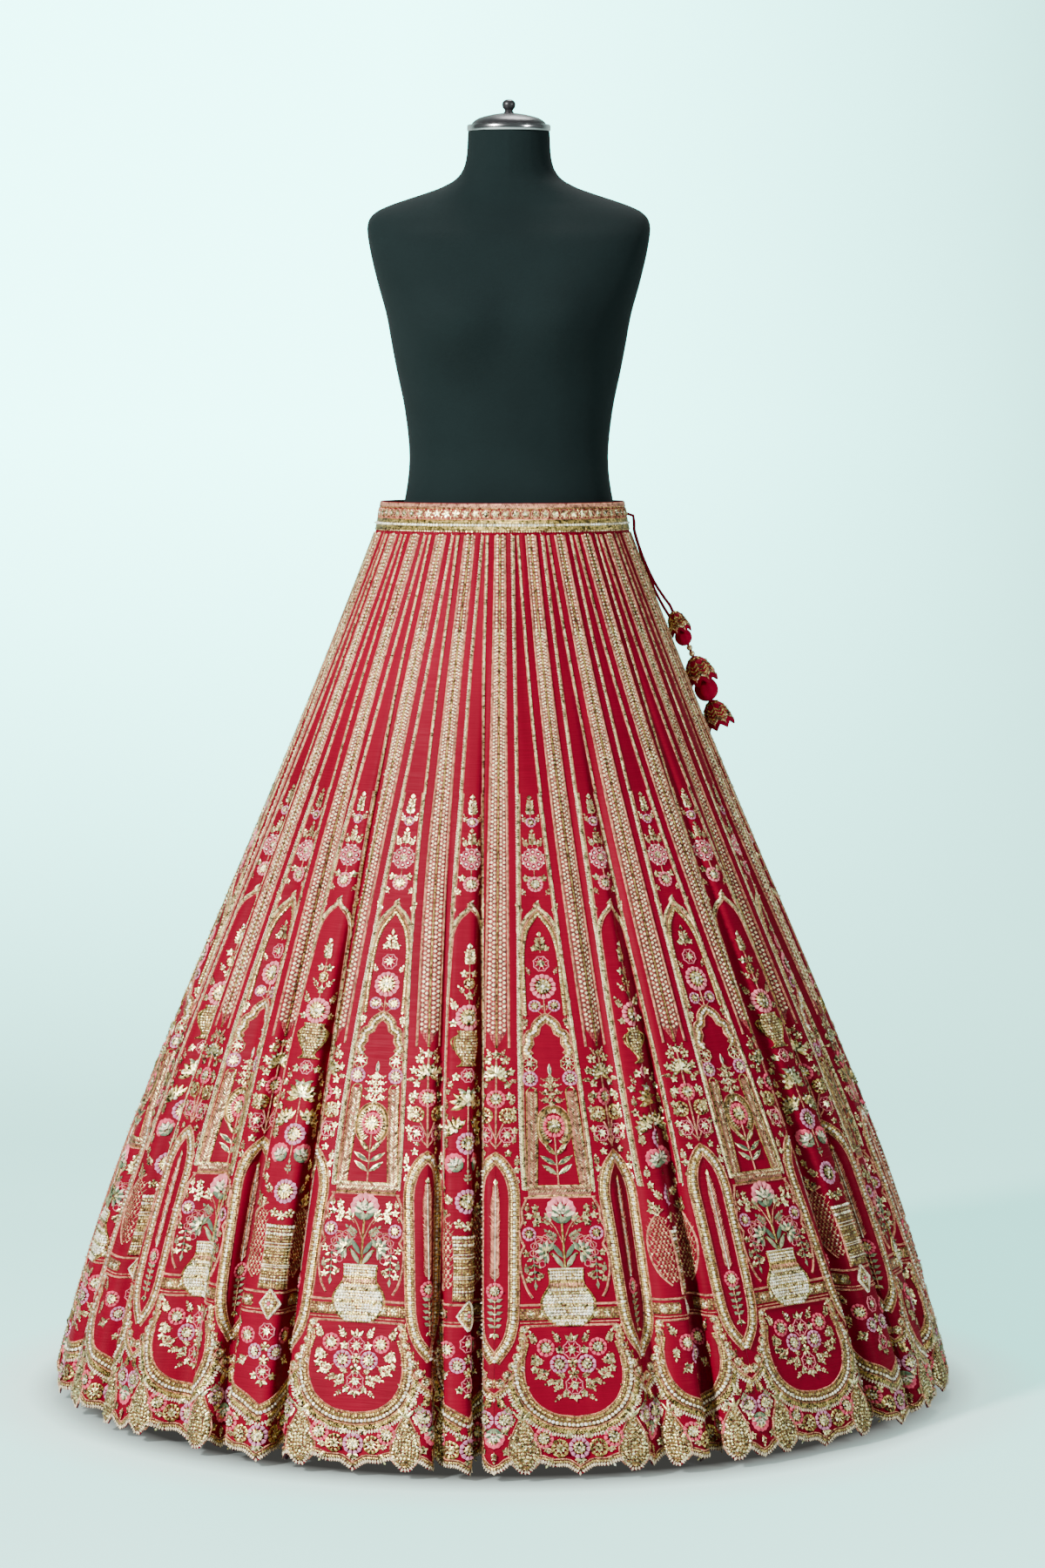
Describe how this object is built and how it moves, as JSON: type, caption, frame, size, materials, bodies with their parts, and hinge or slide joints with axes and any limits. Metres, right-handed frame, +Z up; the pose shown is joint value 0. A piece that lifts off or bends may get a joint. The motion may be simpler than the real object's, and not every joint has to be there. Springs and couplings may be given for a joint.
{
  "type": "lehenga skirt on a limbless dress form",
  "caption": "Full-length crimson silk lehenga skirt with flared kalis, gold arch, vase and flower embroidery, a scalloped hem and side latkans, on a limbless dress form.",
  "frame": {"origin": "middle of the dress form's base, on its underside", "axes": "+Z is up; the skirt's front faces -Y; +X is to the right of someone who looks at the front"},
  "size_m": [1.0662, 1.0516, 1.5259],
  "materials": {
    "crimson_silk": "matte crimson raw silk with a faint slub",
    "embroidered_silk": "crimson silk covered with gold thread, sequins and beads",
    "silk_cord": "twisted crimson silk cord",
    "gold_embroidery": "pale gold thread and bead embroidery",
    "tassel_silk": "crimson silk ball",
    "gold_bead": "polished gold-plated bead",
    "form_jersey": "dark teal-black stretch jersey",
    "form_chrome": "polished chrome",
    "form_plastic": "black plastic",
    "form_base_metal": "black powder coat"
  },
  "bodies": {
    "root": {"kali_01": "crimson_silk", "kali_02": "crimson_silk", "kali_03": "crimson_silk", "kali_04": "crimson_silk", "kali_05": "crimson_silk", "kali_06": "crimson_silk", "kali_07": "crimson_silk", "kali_08": "crimson_silk", "kali_09": "crimson_silk", "kali_10": "crimson_silk", "kali_11": "crimson_silk", "kali_12": "crimson_silk", "kali_13": "crimson_silk", "kali_14": "crimson_silk", "kali_15": "crimson_silk", "kali_16": "crimson_silk", "kali_17": "crimson_silk", "kali_18": "crimson_silk", "kali_19": "crimson_silk", "kali_20": "crimson_silk", "kali_21": "crimson_silk", "kali_22": "crimson_silk", "kali_23": "crimson_silk", "kali_24": "crimson_silk", "waistband_front": "embroidered_silk", "waistband_back": "embroidered_silk", "drawstring_short": "silk_cord", "drawstring_long": "silk_cord", "latkan_bell_1": "gold_embroidery", "latkan_bell_2": "gold_embroidery", "latkan_bell_3": "gold_embroidery", "latkan_ball_1": "tassel_silk", "latkan_ball_2": "tassel_silk", "latkan_bead_1": "gold_bead", "latkan_bead_2": "gold_bead", "form_torso": "form_jersey", "form_neck_ring": "form_chrome", "form_neck_cap": "form_plastic", "form_knob": "form_plastic", "form_pole": "form_chrome", "form_base": "form_base_metal"}
  },
  "joints": []
}
